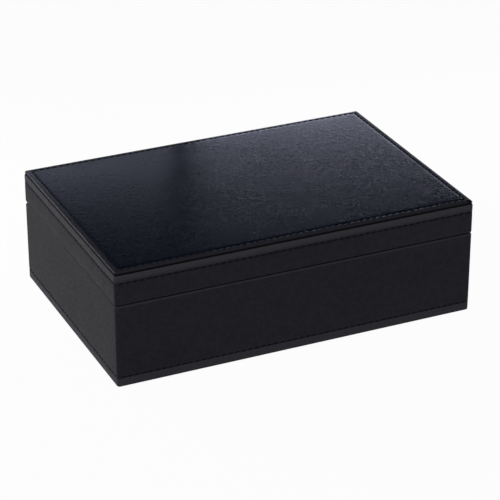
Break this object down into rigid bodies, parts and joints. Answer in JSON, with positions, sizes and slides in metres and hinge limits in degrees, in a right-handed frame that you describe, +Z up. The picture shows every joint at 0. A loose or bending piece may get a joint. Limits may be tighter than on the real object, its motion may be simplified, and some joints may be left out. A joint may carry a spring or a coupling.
{
  "type": "jewellery box",
  "caption": "Rectangular stitched-leather jewellery box with a rear-hinged lid, a mirror inside the lid, a lift-out tray with ring rolls, and divided lower compartments.",
  "frame": {"origin": "centre of the outline in plan, on the surface that the box stands on", "axes": "+X along the length, to the right as seen from the front, front at -Y, hinges at +Y, +Z up"},
  "size_m": [0.26, 0.174, 0.0834],
  "materials": {
    "black_leather": "satin, fine pebble grain",
    "black_thread": "twisted sewing thread",
    "black_ribbon": "ribbed ribbon",
    "grey_suede": "short-nap suede cloth",
    "roll_suede": "short-nap suede cloth over foam",
    "fibre_board": "bare fibre board",
    "grey_card": "plain grey card",
    "brass": "satin brass",
    "mirror": "silvered glass"
  },
  "bodies": {
    "base": {"bottom_cover": "grey_suede", "base_wrap": "black_leather", "base_stitching": "black_thread", "base_bottom_board": "fibre_board", "base_front_board": "fibre_board", "base_back_board": "fibre_board", "base_left_board": "fibre_board", "base_right_board": "fibre_board", "base_floor_lining": "grey_suede", "base_wall_lining": "grey_suede", "tray_ledge_left": "grey_suede", "tray_ledge_right": "grey_suede", "lower_long_divider": "grey_suede", "lower_cross_divider_left": "grey_suede", "lower_cross_divider_right": "grey_suede", "hinge_left_base_leaf": "brass", "hinge_left_base_screw_1": "brass", "hinge_left_base_screw_2": "brass", "hinge_left_pin": "brass", "hinge_right_base_leaf": "brass", "hinge_right_base_screw_1": "brass", "hinge_right_base_screw_2": "brass", "hinge_right_pin": "brass"},
    "lid": {"lid_wrap": "black_leather", "lid_side_stitching": "black_thread", "top_panel_leather": "black_leather", "top_panel_core": "grey_card", "top_stitching": "black_thread", "lid_top_board": "fibre_board", "lid_front_rail": "fibre_board", "lid_back_rail": "fibre_board", "lid_left_rail": "fibre_board", "lid_right_rail": "fibre_board", "lid_ceiling_lining": "grey_suede", "lid_wall_lining": "grey_suede", "mirror_frame": "grey_suede", "mirror": "mirror", "hinge_left_lid_leaf": "brass", "hinge_left_lid_screw_1": "brass", "hinge_left_lid_screw_2": "brass", "hinge_right_lid_leaf": "brass", "hinge_right_lid_screw_1": "brass", "hinge_right_lid_screw_2": "brass"},
    "tray": {"tray_front_wall": "grey_suede", "tray_back_wall": "grey_suede", "tray_left_wall": "grey_suede", "tray_right_wall": "grey_suede", "tray_floor": "grey_suede", "tray_ring_divider": "grey_suede", "tray_side_divider": "grey_suede", "tray_middle_cross": "grey_suede", "tray_side_cross": "grey_suede", "ring_roll_1": "roll_suede", "ring_roll_2": "roll_suede", "ring_roll_3": "roll_suede", "ring_roll_4": "roll_suede", "ring_roll_5": "roll_suede", "tray_pull_front": "black_ribbon", "tray_pull_back": "black_ribbon"}
  },
  "joints": [
    {"name": "lid_hinge", "type": "hinge", "parent": "base", "child": "lid", "pos_m": [0, 0.0854, 0.0592], "axis": [-1, 0, 0], "range_deg": [0, 97]},
    {"name": "tray_lift", "type": "slide", "parent": "base", "child": "tray", "axis": [0, 0, 1], "range_m": [0, 0.013]}
  ]
}
